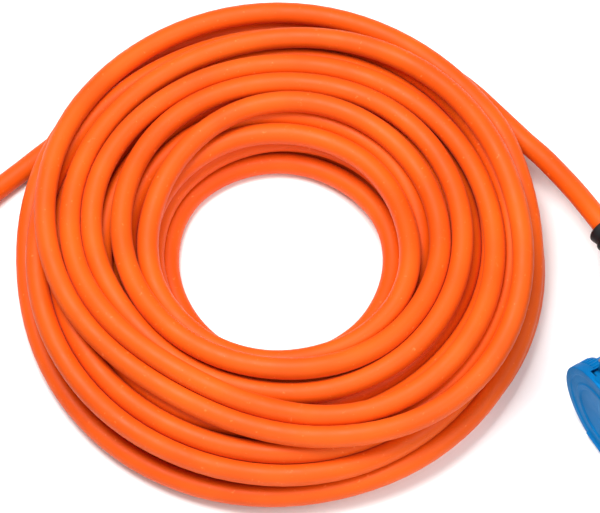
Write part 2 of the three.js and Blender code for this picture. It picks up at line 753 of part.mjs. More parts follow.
function plugPieces() {
  const routes = {};
  POLES.forEach((pole) => {
    const [y0, z0] = polePlace(pole, CORE_SPREAD);
    const [y1, z1] = polePlace(pole);
    routes[pole.name] = [
      [SHEATH_END + GAP, y0, z0],
      [SHEATH_END + 1.4, y0, z0],
      [SHEATH_END + 3, y0 * 1.6, z0 * 1.6],
      [SHEATH_END + 5, y1 * 0.85, z1 * 0.85],
      [PIN_BACK - GAP, y1, z1],
    ];
  });
  return [
    ...entryPieces('plug'),
    mesh('plug_handle', plugHandle(), MATERIALS.blueShell),
    mesh('plug_front', plugFront(), MATERIALS.blueShell),
    mesh('plug_pin_carrier', plugCarrier(), MATERIALS.greyInsert),
    ...POLES.map((pole) => mesh(`plug_pin_${pole.name}`, plugPin(pole), MATERIALS.brass)),
    ...POLES.map((pole) =>
      mesh(`plug_terminal_screw_${pole.name}`, terminalScrewSolid(pole, PIN_SCREW),
        MATERIALS.steel)),
    ...corePieces('plug', routes),
  ];
}

// ---------------------------------------------------------------- whole object
function placed(pieces, position, heading) {
  const group = new THREE.Group();
  group.add(...pieces);
  group.position.copy(position);
  group.rotation.z = THREE.MathUtils.degToRad(heading);
  return group;
}

const cordSet = new THREE.Group();
cordSet.add(
  ...cablePieces(),
  placed(couplerPieces(), ELBOW, SOCKET_HEADING),
  placed(plugPieces(), PLUG_MOUTH, PLUG_HEADING),
);

// The origin is on the floor, under the middle of the whole object.
const extent = new THREE.Box3().setFromObject(cordSet, true);
const middle = extent.getCenter(new THREE.Vector3());
cordSet.position.set(-middle.x, -middle.y, 0);

export default cordSet;
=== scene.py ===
# %% [markdown]
# An orange extension cord lies coiled on a pale floor. The frame holds every hard piece at
# its real size: a blue plug, a blue angled coupler and the outer shape of the coil. This
# script gives them their real surfaces and winds the cable itself, turn by turn.

# %% Load the frame
import json
import math

import bmesh
import bpy
import numpy as np
from mathutils import Matrix, Vector

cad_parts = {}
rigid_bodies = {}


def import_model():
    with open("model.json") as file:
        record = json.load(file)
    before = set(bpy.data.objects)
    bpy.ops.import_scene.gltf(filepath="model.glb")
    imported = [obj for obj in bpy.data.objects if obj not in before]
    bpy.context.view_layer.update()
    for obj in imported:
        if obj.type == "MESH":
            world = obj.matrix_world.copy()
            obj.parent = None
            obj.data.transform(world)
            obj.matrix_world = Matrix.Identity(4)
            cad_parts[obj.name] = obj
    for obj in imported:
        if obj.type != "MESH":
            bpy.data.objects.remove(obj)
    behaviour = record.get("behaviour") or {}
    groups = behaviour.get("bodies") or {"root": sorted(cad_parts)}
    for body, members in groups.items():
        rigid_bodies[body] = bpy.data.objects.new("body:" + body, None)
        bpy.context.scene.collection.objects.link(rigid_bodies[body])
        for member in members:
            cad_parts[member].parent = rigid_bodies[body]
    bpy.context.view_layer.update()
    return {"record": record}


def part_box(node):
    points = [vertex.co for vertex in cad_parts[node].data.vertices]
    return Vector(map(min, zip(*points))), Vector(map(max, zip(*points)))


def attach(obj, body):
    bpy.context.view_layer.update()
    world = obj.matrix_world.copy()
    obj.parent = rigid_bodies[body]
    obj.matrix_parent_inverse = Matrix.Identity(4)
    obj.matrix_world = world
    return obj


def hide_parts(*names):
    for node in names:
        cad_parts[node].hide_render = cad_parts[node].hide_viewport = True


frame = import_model()
scene = bpy.context.scene
MM = 0.001

# %% [markdown]
# The camera looks down on the coil from the front, from far off with a long lens, so the
# turns keep their round shape. Everything in the picture hangs on the coil's own centre,
# which comes from the frame and not from a typed number.

# %% Camera
coil_low, coil_high = (Vector(corner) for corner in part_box("cable_coil"))
COIL_CENTRE = Vector(((coil_low.x + coil_high.x) / 2, (coil_low.y + coil_high.y) / 2, 0))
VIEW_ELEVATION = math.radians(62)
VIEW_DISTANCE = 1.9
VIEW_WIDTH = 0.307 # width of the floor that the picture spans at the coil
AIM = COIL_CENTRE + Vector((0.0097, 0.0, 0.0135))
SENSOR = 36

camera_data = bpy.data.cameras.new("camera")
camera_data.sensor_width = SENSOR
camera_data.lens = SENSOR * VIEW_DISTANCE / VIEW_WIDTH
camera_data.clip_end = 10
camera = bpy.data.objects.new("camera", camera_data)
scene.collection.objects.link(camera)
away = Vector((0, -math.cos(VIEW_ELEVATION), math.sin(VIEW_ELEVATION)))
camera.location = AIM + away * VIEW_DISTANCE
camera.rotation_euler = away.to_track_quat("Z", "Y").to_euler()
scene.camera = camera
scene.view_settings.view_transform = "Standard" # a filmic curve would wash the orange out
print("lens, mm:", round(camera_data.lens, 1))

# %% [markdown]
# A winding is a pile of turns. Each turn gets a slot in a layer and a slow wander off the
# true circle, because a person winds it by hand over an arm. Layers run inwards and
# outwards by turns, so the cable never jumps from one rim to the other.

# %% Slots for the turns
CABLE_DIAMETER = 11.0
CABLE_RADIUS = CABLE_DIAMETER / 2
PITCH = 11.25
LAYER_RISE = 0.87 * CABLE_DIAMETER # a turn sinks a little into the groove below it
LAYERS = ((128.0, 7), (122.4, 6), (122.4, 6), (116.8, 5)) # outermost radius and turns of each
START_RADIUS = 131.0
START_ANGLE = math.radians(132) # where the tail to the plug meets the coil
END_RADIUS = 137.2
END_HEIGHT = 18.5
TURNS = 24.25
DESCENT = ( # turn, radius and height, as the last turn comes down the outside
    (23.22, 127.0, 36.0),
    (23.38, 126.5, 30.0),
    (23.5, 130.0, 27.0),
    (23.62, 129.0, 25.0),
    (23.75, 126.5, 22.0),
    (23.9, 130.0, 20.0),
    (TURNS, END_RADIUS, END_HEIGHT),
)


def turn_slots():
    """Turn number, radius and height of each slot, from the first turn to the last."""
    slots = []
    for layer, (outermost, count) in enumerate(LAYERS):
        radii = [outermost - PITCH * i for i in range(count)]
        if layer % 2:
            radii.reverse()
        height = CABLE_RADIUS + LAYER_RISE * layer
        slots += [(len(slots) + i, radius, height) for i, radius in enumerate(radii)]
    slots[0] = (0, START_RADIUS, CABLE_RADIUS)
    return np.array(slots + list(DESCENT))


def wander(turn, angle, radius):
    """How far off its slot a turn strays, in millimetres."""
    outward = np.clip((radius - 60) / 65, 0, 1)
    top = np.clip((turn - 17.5) / 2, 0, 1) * np.clip((23.5 - turn) / 0.4, 0, 1)
    rim = (9.4 * np.cos(angle - math.radians(35)) - 8.3 * np.sin(2 * angle)
           + 3.6 * np.cos(3 * angle + math.radians(144)) + 6.8)
    rim += 5.0 * np.exp(-((np.angle(np.exp(1j * (angle - math.radians(48)))) / 0.45) ** 2))
    base = 1.2 * np.cos(angle - math.radians(215))
    sway = 2.7 * np.cos(angle - 2.3 * turn + 0.2) + 2.5 * np.cos(2 * angle + 1.1 * turn + 1.6)
    ripple = 1.6 * np.cos(3 * angle - 1.37 * turn + 2.0)
    return outward * (top * rim + (1 - top) * base) + sway + ripple


slots = turn_slots()
print("turns:", TURNS, "in layers of", [count for _, count in LAYERS])

# %% [markdown]
# Then the whole pile settles. Every turn sinks, is pushed a diameter away from whatever it
# touches, and is eased straight again by its own stiffness. A rigid-body or cloth solver
# could do this too, but fifteen metres of cable in contact with itself is slow there. Each
# turn crosses the same angles as all the others, so contact is only a matter of radius and
# height within one angle, and a few array sums do it in seconds, the same every time.

# %% Let the pile settle
SECTORS = 96 # points in each turn
LEAD = 6 # points of the straight run on to the coil, and off it
TRAIL = 4
SETTLING_STEPS = 450
SINK_PER_STEP = 0.22 # millimetres, less and less as the pile comes to rest
PULL_TO_SLOT = 0.05 # share of the way back to its slot's radius, each step
STRAIGHTENING = 0.5 # how hard the sheath's own stiffness evens out a bend
CONTACT = CABLE_DIAMETER * 1.006
FAR_OFF = 1e4 # where the empty places of the last, part-filled turn are kept
SLOT_EASING = 25 # points over which one slot runs into the next


def averaged(values, width):
    """A running mean over width points, with both end values held."""
    half = width // 2
    padded = np.concatenate([np.full(half, values[0]), values, np.full(half, values[-1])])
    return np.convolve(padded, np.ones(width) / width, "valid")[: len(values)]


def settle(angle, radius, height, free):
    """Lets the turns sink and push each other apart, and returns radius and height."""
    rows = -(-len(radius) // SECTORS)
    spare = np.full(rows * SECTORS - len(radius), FAR_OFF)
    own = np.arange(rows)
    slot_radius = radius.copy()
    for step in range(SETTLING_STEPS):
        height[free] -= SINK_PER_STEP * max(0.0, 1 - 1.05 * step / SETTLING_STEPS)
        radius[free] += PULL_TO_SLOT * (slot_radius[free] - radius[free])
        for _ in range(3):
            for values in (radius, height):
                sag = (values[:-2] + values[2:]) / 2 - values[1:-1]
                values[1:-1] += np.where(free[1:-1], STRAIGHTENING * sag, 0)
        for _ in range(8):
            grid_r = np.concatenate([radius, spare]).reshape(rows, SECTORS)
            grid_z = np.concatenate([height, spare]).reshape(rows, SECTORS)
            apart_r = grid_r[:, None] - grid_r[None]
            apart_z = grid_z[:, None] - grid_z[None]
            distance = np.hypot(apart_r, apart_z) + 1e-9
            overlap = np.clip(CONTACT - distance, 0, None)
            overlap[own, own] = 0
            contacts = np.maximum(1, (overlap > 0).sum(1))
            share = 0.5 * overlap / distance / np.sqrt(contacts)[:, None]
            push_r = (share * apart_r).sum(1).reshape(-1)[: len(radius)]
            push_z = (share * apart_z).sum(1).reshape(-1)[: len(radius)]
            radius[free] += push_r[free]
            height[free] = np.maximum(height[free] + push_z[free], CABLE_RADIUS)
    distance[own, own] = 99
    print("nearest two turns, mm:", round(float(distance.min()), 2))
    return radius, height


def wind_coil():
    """Centre points of the coil in millimetres, from the plug's end to the coupler's end."""
    index = np.arange(LEAD + round(TURNS * SECTORS) + 1 + TRAIL)
    angle = START_ANGLE - (index - LEAD) * 2 * np.pi / SECTORS
    turn = np.clip((index - LEAD) / SECTORS, 0, TURNS)
    radius = averaged(np.interp(turn, slots[:, 0], slots[:, 1]), SLOT_EASING)
    height = averaged(np.interp(turn, slots[:, 0], slots[:, 2]), SLOT_EASING)
    fade = np.clip(np.minimum(turn, TURNS - turn) / 0.7, 0, 1)
    radius += wander(turn, angle, radius) * fade * fade * (3 - 2 * fade)
    run_on, run_off = slice(0, LEAD + 1), slice(-TRAIL - 1, None)
    radius[run_on] = START_RADIUS / np.cos(angle[run_on] - START_ANGLE)
    radius[run_off] = END_RADIUS / np.cos(angle[run_off] - angle[-TRAIL - 1])
    height[run_on] = CABLE_RADIUS
    height[run_off] = END_HEIGHT
    free = np.ones(len(index), bool)
    free[run_on] = free[run_off] = False
    radius, height = settle(angle, radius, height, free)
    return np.stack([radius * np.cos(angle), radius * np.sin(angle), height], 1)


coil_points = wind_coil()
print("coil height, mm:", round(float(coil_points[:, 2].max()) + CABLE_RADIUS, 1))

# %% [markdown]
# Two free stretches join the coil to its plug and coupler. Their centre points are the same
# as the frame's own two tubes, and both go on into the sleeves. One smooth curve through
# all of it makes a single cable with no joint in it.

# %% The whole route
TAIL_TO_PLUG = [
    (-133.4, 56.0, 5.5), (-140.5, 49.6, 5.5), (-147.5, 43.2, 5.8), (-154.4, 36.3, 7.2),
    (-160.4, 28.9, 9.6), (-165.7, 20.8, 12.8), (-170.0, 12.2, 16.3), (-173.5, 3.2, 19.7),
    (-176.0, -6.1, 22.9), (-177.5, -15.6, 25.3), (-178.0, -25.2, 26.8), (-178.0, -34.0, 27.0),
    (-178.0, -46.5, 27.0), (-178.0, -59.0, 27.0),
]
TAIL_TO_COUPLER = [
    (133.7, 56.6, 19.6), (137.8, 51.6, 20.2), (142.8, 44.8, 21.2), (147.9, 37.4, 22.7),
    (152.8, 29.4, 24.8), (157.3, 21.2, 27.2), (161.4, 13.8, 29.0), (164.5, 8.5, 29.5),
    (171.0, -2.2, 29.5), (177.6, -12.8, 29.5),
]


def smooth_run(points, step):
    """A Catmull-Rom curve through the points, with a new point about every step."""
    points = np.array(points, float)
    ends = (2 * points[:1] - points[1:2], points, 2 * points[-1:] - points[-2:-1])
    padded = np.concatenate(ends)
    run = []
    for a, b, c, d in zip(padded, padded[1:], padded[2:], padded[3:]):
        count = max(1, round(float(np.linalg.norm(c - b)) / step))
        for t in np.arange(count) / count:
            run.append((2 * b + (c - a) * t + (2 * a - 5 * b + 4 * c - d) * t ** 2
                        + (3 * b - a - 3 * c + d) * t ** 3) / 2)
    return np.array(run + [points[-1]])


route = np.concatenate([TAIL_TO_COUPLER[::-1], coil_points[::-1], TAIL_TO_PLUG])
route = smooth_run(route, 6.5) * MM + np.array(COIL_CENTRE)

# %% [markdown]
# Every finish below is a small node graph. Colours are written as the hex values that a
# paint chart would give, and one function turns them to the linear values that light needs.
# One more function adds a node, sets it and links it, and that is all the help there is.

# %% Helpers for finishes
def linear(hex_colour):
    """The linear RGBA of an sRGB hex colour such as "f9631a"."""
    channels = [int(hex_colour[i : i + 2], 16) / 255 for i in (0, 2, 4)]
    light = [c / 12.92 if c <= 0.04045 else ((c + 0.055) / 1.055) ** 2.4 for c in channels]
    return (*light, 1)


def add(tree, kind, links=None, values=None, **settings):
    """Adds a node, sets its properties and input values, and links other sockets to it."""
    node = tree.nodes.new(kind)
    for name, value in settings.items():
        setattr(node, name, value)
    for name, value in (values or {}).items():
        node.inputs[name].default_value = value
    for name, socket in (links or {}).items():
        tree.links.new(socket, node.inputs[name])
    return node


def new_finish(name, **shader_values):
    """A material with a bare shader, and the object coordinates that its patterns use."""
    material = bpy.data.materials.new(name)
    material.use_nodes = True
    tree = material.node_tree
    shader = tree.nodes["Principled BSDF"]
    for socket, value in shader_values.items():
        shader.inputs[socket.replace("_", " ")].default_value = value
    place = add(tree, "ShaderNodeTexCoord").outputs["Object"]
    return material, tree, shader, place


def noise(tree, place, size_mm, detail=2.0):
    """Noise whose blotches are about size_mm across."""
    values = {"Scale": 1 / (size_mm * MM), "Detail": detail}
    return add(tree, "ShaderNodeTexNoise", {"Vector": place}, values).outputs["Fac"]


def ramp(tree, socket, *stops):
    """A colour ramp between two stops of (place, hex colour), or (place, grey number)."""
    node = add(tree, "ShaderNodeValToRGB", {"Fac": socket})
    for element, (place, colour) in zip(node.color_ramp.elements, stops):
        element.position = place
        element.color = linear(colour) if isinstance(colour, str) else (colour,) * 3 + (1,)
    return node.outputs["Color"]


def mixed(tree, amount, first, second):
    """The first colour turning into the second; each is a socket or a hex value."""
    node = add(tree, "ShaderNodeMix", {"Factor": amount}, data_type="RGBA")
    for socket, value in zip((node.inputs[6], node.inputs[7]), (first, second)):
        if isinstance(value, str):
            socket.default_value = linear(value)
        else:
            tree.links.new(value, socket)
    return node.outputs[2]


def relief(tree, shader, socket, depth_mm, below=None):
    """Bump of a real depth on the shader, laid over any bump below it."""
    links = {"Height": socket}
    if below:
        links["Normal"] = below.outputs["Normal"]
    node = add(tree, "ShaderNodeBump", links, {"Distance": depth_mm * MM, "Strength": 1.0})
    tree.links.new(node.outputs["Normal"], shader.inputs["Normal"])
    return node


FINISHES = {}

# %% [markdown]
# The sheath is extruded chlorinated rubber. It comes off the extruder satin smooth, with
# faint draw marks and a fine pebble, and handling leaves small pale scuffs and dust specks.
# Blotches of a few centimetres keep fifteen metres of one colour from looking painted.

# %% Orange rubber sheath
sheath, tree, shader, place = new_finish(
    "extruded orange rubber", IOR=1.5, Specular_IOR_Level=0.2, Sheen_Weight=0.03,
    Sheen_Roughness=0.4)
tone = ramp(tree, noise(tree, place, 45), (0.3, "d84c05"), (0.7, "e45a0d"))
scuff_mask = ramp(tree, noise(tree, place, 2.4, 6.0), (0.66, 0.0), (0.74, 0.5))
scuffed = mixed(tree, scuff_mask, tone, "f58244")
dirt_mask = ramp(tree, noise(tree, place, 1.1, 4.0), (0.73, 0.0), (0.79, 0.45))
tree.links.new(mixed(tree, dirt_mask, scuffed, "963a04"), shader.inputs["Base Color"])
gloss = ramp(tree, noise(tree, place, 9, 4.0), (0.3, 0.44), (0.75, 0.6))
tree.links.new(gloss, shader.inputs["Roughness"])
pebble = relief(tree, shader, noise(tree, place, 0.7, 3.0), 0.025)
relief(tree, shader, noise(tree, place, 12, 2.0), 0.12, pebble)
FINISHES["orange_sheath"] = sheath

# %% [markdown]
# Both housings are moulded polyamide, coloured through. The mould is spark eroded, which
# leaves an even, fine grain, and raised edges polish paler with handling. The lid is the
# same plastic from a smoother mould.

# %% Blue moulded plastics
def moulded(name, dark, light, worn, grain_mm, grain_depth_mm, rough_low, rough_high,
            shine=0.35):
    """A through-coloured moulded plastic: grain, slow colour drift and worn raised edges."""
    material, tree, shader, place = new_finish(name, IOR=1.53, Specular_IOR_Level=shine)
    tone = ramp(tree, noise(tree, place, 22), (0.3, dark), (0.7, light))
    edges = add(tree, "ShaderNodeNewGeometry").outputs["Pointiness"]
    wear = add(tree, "ShaderNodeMath", {
        0: ramp(tree, edges, (0.54, 0.0), (0.64, 0.5)),
        1: ramp(tree, noise(tree, place, 5, 4.0), (0.4, 0.2), (0.7, 1.0)),
    }, operation="MULTIPLY").outputs[0]
    tree.links.new(mixed(tree, wear, tone, worn), shader.inputs["Base Color"])
    gloss = ramp(tree, noise(tree, place, 6, 4.0), (0.3, rough_low), (0.75, rough_high))
    tree.links.new(gloss, shader.inputs["Roughness"])
    relief(tree, shader, noise(tree, place, grain_mm, 2.0), grain_depth_mm)
    return material


FINISHES["blue_shell"] = moulded(
    "spark-eroded blue polyamide", "006bab", "0377bb", "2a90cb", 0.6, 0.04, 0.44, 0.58, 0.1)
FINISHES["blue_lid"] = moulded(
    "smooth blue polyamide", "0067a5", "0273b4", "2488c6", 0.9, 0.02, 0.42, 0.54, 0.05)
FINISHES["grey_insert"] = moulded(
    "dark grey glass-filled polyamide", "2b2f34", "363b41", "565c63", 0.5, 0.03, 0.48, 0.6)
FINISHES["black_nylon"] = moulded(
    "black moulded nylon", "0f1114", "17191d", "3b3f45", 0.6, 0.03, 0.38, 0.52)
FINISHES["black_rubber"] = moulded(
    "black moulded rubber", "0c0d10", "131518", "2c2f33", 0.8, 0.03, 0.5, 0.66)

# %% [markdown]
# The pins and contacts are turned brass bars, and a lathe tool leaves rings about a fifth
# of a millimetre apart. They are drawn a little coarser here so that they show. Screws are
# zinc-plated steel: bluish, a bit blotched and only half glossy.

# %% Metals
brass, tree, shader, place = new_finish("turned brass", Metallic=1.0, Anisotropic=0.4)
tone = ramp(tree, noise(tree, place, 4, 3.0), (0.3, "c79a3e"), (0.75, "dcb865"))
tree.links.new(tone, shader.inputs["Base Color"])
gloss = ramp(tree, noise(tree, place, 3, 4.0), (0.3, 0.2), (0.75, 0.36))
tree.links.new(gloss, shader.inputs["Roughness"])
rings = add(tree, "ShaderNodeTexWave", {"Vector": place}, {"Scale": 700.0, "Distortion": 0.6},
            bands_direction="Y").outputs["Fac"]
relief(tree, shader, rings, 0.012)
FINISHES["brass"] = brass

steel, tree, shader, place = new_finish("zinc-plated steel", Metallic=1.0)
tone = ramp(tree, noise(tree, place, 2.5, 4.0), (0.3, "9da3a9"), (0.75, "c3c8cc"))
tree.links.new(tone, shader.inputs["Base Color"])
gloss = ramp(tree, noise(tree, place, 1.5, 4.0), (0.3, 0.28), (0.75, 0.46))
tree.links.new(gloss, shader.inputs["Roughness"])
relief(tree, shader, noise(tree, place, 0.4, 2.0), 0.01)
FINISHES["zinc_steel"] = steel

# %% [markdown]
# The cores inside are thin-walled rubber in the three usual colours. The earth core is
# green with yellow stripes along it, which a band pattern across the connector gives.

# %% Core insulation
def core_rubber(name, dark, light):
    """Plain rubber insulation in one colour, a little blotched."""
    material, tree, shader, place = new_finish(name, IOR=1.5)
    tone = ramp(tree, noise(tree, place, 3), (0.3, dark), (0.7, light))
    tree.links.new(tone, shader.inputs["Base Color"])
    gloss = ramp(tree, noise(tree, place, 1), (0.3, 0.4), (0.7, 0.55))
    tree.links.new(gloss, shader.inputs["Roughness"])
    return material, tree, shader, place


FINISHES["brown_core"] = core_rubber("brown core rubber", "50270f", "633317")[0]
FINISHES["blue_core"] = core_rubber("blue core rubber", "2358a8", "2f6cc4")[0]
earth, tree, shader, place = core_rubber("green and yellow core rubber", "2f8a3a", "3b9a45")
stripes = add(tree, "ShaderNodeTexWave", {"Vector": place}, {"Scale": 55.0},
              bands_direction="X").outputs["Fac"]
bands = ramp(tree, stripes, (0.45, "2f8a3a"), (0.55, "e3c51c"))
tree.links.new(bands, shader.inputs["Base Color"])
FINISHES["earth_core"] = earth
print("finishes:", len(FINISHES))

# %% [markdown]
# A round cable is a circle swept along its route. The tree below keeps the distance along
# the route on every point, so that the sheath carries its own measure, and it serves for
# any wire: the lid's spring uses it too.

# %% Sweep tree
def socket_names(tree):
    """The identifier of each of a tree's inputs, by its name."""
    return {s.name: s.identifier for s in tree.interface.items_tree if s.in_out == "INPUT"}


def new_tree(name, **inputs):
    """An empty geometry tree with a Geometry input and output, and the inputs named."""
    tree = bpy.data.node_groups.new(name, "GeometryNodeTree")
    tree.interface.new_socket("Geometry", in_out="INPUT", socket_type="NodeSocketGeometry")
    for label, kind in inputs.items():
        tree.interface.new_socket(label, in_out="INPUT", socket_type="NodeSocket" + kind)
    tree.interface.new_socket("Geometry", in_out="OUTPUT", socket_type="NodeSocketGeometry")
    return tree, add(tree, "NodeGroupInput").outputs


def end_tree(tree, geometry, material):
    """Makes the copies real, gives them the material and closes the tree."""
    real = add(tree, "GeometryNodeRealizeInstances", {"Geometry": geometry})
    done = add(tree, "GeometryNodeSetMaterial",
               {"Geometry": real.outputs[0], "Material": material})
    add(tree, "NodeGroupOutput", {"Geometry": done.outputs[0]})


sweep, given = new_tree("sweep a round section", Radius="Float", Sides="Int",
                        Material="Material")
line = add(sweep, "GeometryNodeMeshToCurve", {"Mesh": given["Geometry"]})
measure = add(sweep, "GeometryNodeSplineParameter")
marked = add(sweep, "GeometryNodeStoreNamedAttribute",
             {"Geometry": line.outputs["Curve"], "Value": measure.outputs["Length"]},
             {"Name": "along"}, data_type="FLOAT", domain="POINT")
section = add(sweep, "GeometryNodeCurvePrimitiveCircle",
              {"Resolution": given["Sides"], "Radius": given["Radius"]})
swept = add(sweep, "GeometryNodeCurveToMesh",
            {"Curve": marked.outputs["Geometry"], "Profile Curve": section.outputs["Curve"]},
            {"Fill Caps": True})
end_tree(sweep, swept.outputs["Mesh"], given["Material"])
print("sweep inputs:", list(socket_names(sweep)))

# %% [markdown]
# Ribs, grips and rings are one small shape copied round an axis or along it. This tree does
# both, and turns the copies into real mesh.

# %% Repeat tree
repeat, given = new_tree("repeat a shape", Count="Int", Turn="Float", Step="Float",
                         Material="Material")
one = add(repeat, "GeometryNodeGeometryToInstance", {"Geometry": given["Geometry"]})
many = add(repeat, "GeometryNodeDuplicateElements",
           {"Geometry": one.outputs[0], "Amount": given["Count"]}, domain="INSTANCE")
number = many.outputs["Duplicate Index"]
angle = add(repeat, "ShaderNodeMath", {0: number, 1: given["Turn"]}, operation="MULTIPLY")
shift = add(repeat, "ShaderNodeMath", {0: number, 1: given["Step"]}, operation="MULTIPLY")
turned = add(repeat, "GeometryNodeRotateInstances", {
    "Instances": many.outputs["Geometry"],
    "Rotation": add(repeat, "ShaderNodeCombineXYZ", {"X": angle.outputs[0]}).outputs[0],
}, {"Local Space": False})
moved = add(repeat, "GeometryNodeTranslateInstances", {
    "Instances": turned.outputs[0],
    "Translation": add(repeat, "ShaderNodeCombineXYZ", {"X": shift.outputs[0]}).outputs[0],
}, {"Local Space": False})
end_tree(repeat, moved.outputs[0], given["Material"])
print("repeat inputs:", list(socket_names(repeat)))

# %% [markdown]
# Hard pieces are drawn in millimetres along their own axis and then moved to their place in
# the frame, so that each finished object lies at the origin with its place in its mesh.
# The helpers below hold a shape, run modifiers on it and finish it.

# %% Helpers for pieces
def as_object(name, shape):
    """An object with the bmesh shape as its mesh."""
    mesh = bpy.data.meshes.new(name)
    shape.to_mesh(mesh)
    shape.free()
    obj = bpy.data.objects.new(name, mesh)
    scene.collection.objects.link(obj)
    return obj


def plain(obj):
    """Turns the object's modifiers into plain mesh."""
    graph = bpy.context.evaluated_depsgraph_get()
    mesh = bpy.data.meshes.new_from_object(obj.evaluated_get(graph))
    obj.modifiers.clear()
    obj.data = mesh
    return obj


def run_tree(obj, tree, **inputs):
    """Runs a geometry tree on the object, with its inputs given by name."""
    modifier = obj.modifiers.new(tree.name, "NODES")
    modifier.node_group = tree
    names = socket_names(tree)
    for label, value in inputs.items():
        modifier[names[label]] = value
    return plain(obj)


def carved(shape, *tools, operation="DIFFERENCE"):
    """Cuts or joins bmesh shapes, and returns the result as a bmesh."""
    obj = as_object("blank", shape)
    helpers = [as_object("tool", tool) for tool in tools]
    for helper in helpers:
        modifier = obj.modifiers.new("cut", "BOOLEAN")
        modifier.operation = operation
        modifier.solver = "EXACT"
        modifier.object = helper
    plain(obj)
    result = bmesh.new()
    result.from_mesh(obj.data)
    for spent in [obj, *helpers]:
        bpy.data.objects.remove(spent)
    return result


def repeated(shape, count, turn=0.0, step=0.0):
    """A bmesh of count copies of the shape, each turned and moved on from the last."""
    obj = run_tree(as_object("rib", shape), repeat, Count=count, Turn=turn, Step=step)
    result = bmesh.new()
    result.from_mesh(obj.data)
    bpy.data.objects.remove(obj)
    return result


def together(*shapes):
    """One bmesh that holds all the shapes."""
    first = shapes[0]
    for other in shapes[1:]:
        mesh = bpy.data.meshes.new("part")
        other.to_mesh(mesh)
        other.free()
        first.from_mesh(mesh)
        bpy.data.meshes.remove(mesh)
    return first


def finish_piece(obj, finish, body="cord_set", replaces=(), sharp=38):
    """Shades the piece, gives it its finish, hangs it on its body and hides the parts it
    replaces.
    """
    obj.data.materials.clear()
    obj.data.materials.append(FINISHES[finish])
    obj.data.shade_smooth()
    obj.data.set_sharp_from_angle(angle=math.radians(sharp))
    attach(obj, body)
    if replaces:
        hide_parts(*replaces)
    return obj


def piece(name, shape, place, finish, body="cord_set", replaces=(), sharp=38, outward=True):
    """Makes a finished piece of a bmesh that is drawn in millimetres about its own axis."""
    if outward:
        bmesh.ops.recalc_face_normals(shape, faces=shape.faces)
    bmesh.ops.transform(shape, matrix=place, verts=shape.verts)
    return finish_piece(as_object(name, shape), finish, body, replaces, sharp)


# %% [markdown]
# Almost every hard piece here was turned or moulded round an axis. `rounded` softens the
# corners of a drawn profile as a mould does, `lathe` turns it, and `block`, `cross_rod` and
# `plate` make the few straight tools, lugs and ribs.

# %% Helpers for shapes
def rounded(profile, radius=1.0, steps=4):
    """Rounds the corners of a profile, by less where its edges are short."""
    points = [Vector(point) for point in profile]
    soft = [points[0]]
    for before, corner, after in zip(points, points[1:], points[2:]):
        reach = min(radius, 0.45 * (corner - before).length, 0.45 * (after - corner).length)
        start = corner + (before - corner).normalized() * reach
        end = corner + (after - corner).normalized() * reach
        for i in range(steps + 1):
            t = i / steps
            soft.append(start * (1 - t) ** 2 + corner * 2 * t * (1 - t) + end * t * t)
    return soft + [points[-1]]


def lathe(profile, steps=96):
    """Turns (distance, radius) points about the X axis; a closed profile makes a ring."""
    shape = bmesh.new()
    points = [Vector(point) for point in profile]
    closed = (points[0] - points[-1]).length < 1e-4
    rings = []
    for x, radius in points[:-1] if closed else points:
        count = 1 if radius < 1e-4 else steps
        around = [2 * math.pi * i / count for i in range(count)]
        rings.append([
            shape.verts.new((x, radius * math.cos(a), radius * math.sin(a))) for a in around])
    pairs = list(zip(rings, rings[1:])) + ([(rings[-1], rings[0])] if closed else [])
    for low, high in pairs:
        for i in range(steps):
            j = (i + 1) % steps
            below = (low[i % len(low)], low[j % len(low)])
            above = (high[j % len(high)], high[i % len(high)])
            corners = list(dict.fromkeys(below + above))
            if len(corners) > 2: # two points on the axis have no wall between them
                shape.faces.new(corners)
    bmesh.ops.recalc_face_normals(shape, faces=shape.faces)
    return shape


def shell(outside, inside, radius=0.8, steps=96):
    """A ring-shaped wall: its outside from back to front, then its bore from front to back."""
    return lathe(rounded([*outside, *inside, outside[0]], radius), steps)


def rod(back, front, radius, centre=(0, 0), steps=32):
    """A plain cylinder along X."""
    shape = lathe([(back, 0), (back, radius), (front, radius), (front, 0)], steps)
    bmesh.ops.translate(shape, vec=(0, *centre), verts=shape.verts)
    return shape


def block(x, y, z, edge=0.0):
    """A box between two values on each axis, with its edges rounded off."""
    shape = bmesh.new()
    bmesh.ops.create_cube(shape, size=1)
    size = [high - low for low, high in (x, y, z)]
    middle = [(high + low) / 2 for low, high in (x, y, z)]
    bmesh.ops.scale(shape, vec=size, verts=shape.verts)
    bmesh.ops.translate(shape, vec=middle, verts=shape.verts)
    if edge:
        bmesh.ops.bevel(shape, geom=shape.edges, offset=edge, segments=3, profile=0.5,
                        affect="EDGES")
    return shape


def cross_rod(x, z, y0, y1, radius, steps=48):
    """A rod that lies along Y."""
    shape = rod(y0, y1, radius, steps=steps)
    bmesh.ops.rotate(shape, matrix=Matrix.Rotation(math.pi / 2, 3, "Z"), verts=shape.verts)
    bmesh.ops.translate(shape, vec=(x, 0, z), verts=shape.verts)
    return shape


def chain(points):
    """A line of edges through the points, for the sweep tree to follow."""
    shape = bmesh.new()
    corners = [shape.verts.new(point) for point in points]
    for start, end in zip(corners, corners[1:]):
        shape.edges.new((start, end))
    return shape


def turned_about_x(shape, degrees):
    """Turns a shape to where its first copy stands on the ring."""
    turn = Matrix.Rotation(math.radians(degrees), 3, "X")
    bmesh.ops.rotate(shape, matrix=turn, verts=shape.verts)
    return shape


